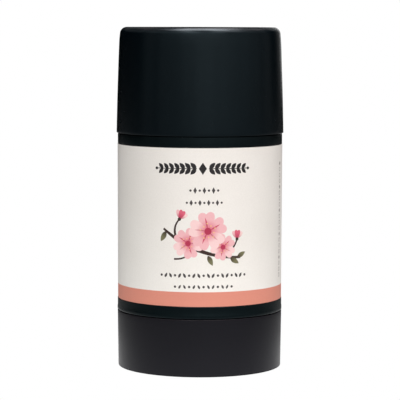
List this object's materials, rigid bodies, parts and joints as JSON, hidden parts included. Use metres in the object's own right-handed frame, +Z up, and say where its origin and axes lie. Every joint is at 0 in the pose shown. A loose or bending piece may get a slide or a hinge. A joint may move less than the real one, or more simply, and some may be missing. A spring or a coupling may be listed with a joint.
{
  "type": "deodorant stick",
  "caption": "Round twist-up deodorant stick: black barrel with a wrap-round label, full-width turning knob at the foot, screw-lifted product, inner seal and tall friction cap.",
  "frame": {"origin": "centre of the foot, on the surface the pack stands on, under its axis", "axes": "+Z up along the pack's axis, towards the cap; the label's front faces -Y and its seam is at +Y"},
  "size_m": [0.0492, 0.0492, 0.0998],
  "materials": {
    "cap_black": "satin",
    "barrel_black": "satin",
    "knob_black": "satin",
    "natural_plastic": "satin",
    "label_film": "satin",
    "wax": "matte"
  },
  "bodies": {
    "body": {"barrel": "barrel_black", "label": "label_film"},
    "knob": {"base_knob": "knob_black", "spindle": "natural_plastic"},
    "carriage": {"deodorant_stick": "wax", "elevator": "natural_plastic"},
    "seal": {"inner_lid": "natural_plastic"},
    "lid": {"cap": "cap_black"}
  },
  "joints": [
    {"name": "knob_turn", "type": "hinge", "parent": "body", "child": "knob", "pos_m": [0, 0, 0], "axis": [0, 0, -1], "range_deg": [0, 5040]},
    {"name": "stick_rise", "type": "slide", "parent": "body", "child": "carriage", "axis": [0, 0, 1], "range_m": [0, 0.056]},
    {"name": "seal_lift", "type": "slide", "parent": "carriage", "child": "seal", "axis": [0, 0, 1], "range_m": [0, 0.02]},
    {"name": "cap_pull", "type": "slide", "parent": "seal", "child": "lid", "axis": [0, 0, 1], "range_m": [0, 0.045]}
  ],
  "couplings": [
    {"joint": "knob_turn", "follows": "stick_rise", "rad_per_m": 1570.8}
  ]
}
